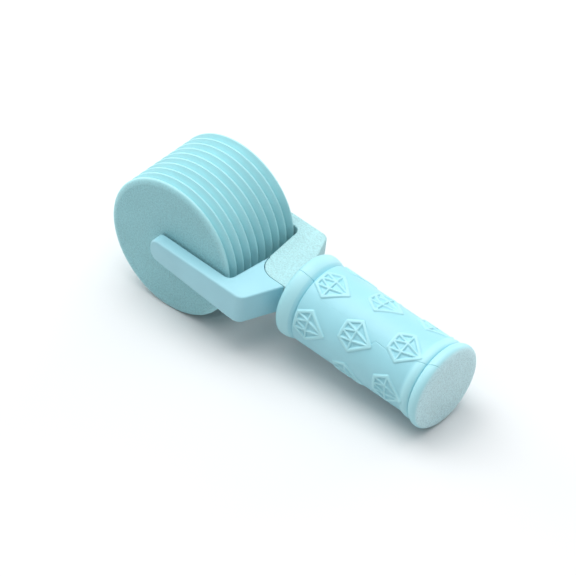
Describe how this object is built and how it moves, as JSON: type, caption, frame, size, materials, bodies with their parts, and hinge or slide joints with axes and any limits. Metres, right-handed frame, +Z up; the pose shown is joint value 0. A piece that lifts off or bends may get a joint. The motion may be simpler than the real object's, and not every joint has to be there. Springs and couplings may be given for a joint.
{
  "type": "ribbed hand roller",
  "caption": "Small hand roller: a ridged plastic drum that spins in a lapped two-piece fork, with a short round grip embossed with gem outlines.",
  "frame": {"origin": "middle of the tool's bounding box, on the table that the drum and the grip's rear flange rest on", "axes": "+X from the drum towards the grip's end, +Y along the axle to the right fork arm, +Z up"},
  "size_m": [0.114, 0.0378, 0.044],
  "materials": {
    "roller_plastic": "satin moulded plastic, pale aqua",
    "cover_plastic": "fine spark-eroded grain, pale aqua",
    "fork_smooth_plastic": "satin moulded plastic, pale aqua",
    "fork_grained_plastic": "fine spark-eroded grain on the flat top, pale aqua",
    "grip_plastic": "satin moulded plastic, pale aqua",
    "end_cap_plastic": "fine spark-eroded grain, pale aqua",
    "axle_steel": "bright drawn steel"
  },
  "bodies": {
    "handle": {"axle_pin": "axle_steel", "fork_half_left": "fork_smooth_plastic", "fork_half_right": "fork_grained_plastic", "grip_shell_upper": "grip_plastic", "grip_shell_lower": "grip_plastic", "end_cap": "end_cap_plastic"},
    "roller": {"roller_drum": "roller_plastic", "roller_cover_left": "cover_plastic", "roller_cover_right": "cover_plastic"}
  },
  "joints": [
    {"name": "roller_spin", "type": "hinge", "parent": "handle", "child": "roller", "pos_m": [-0.03497, 0, 0.022], "axis": [0, 1, 0], "continuous": true}
  ]
}
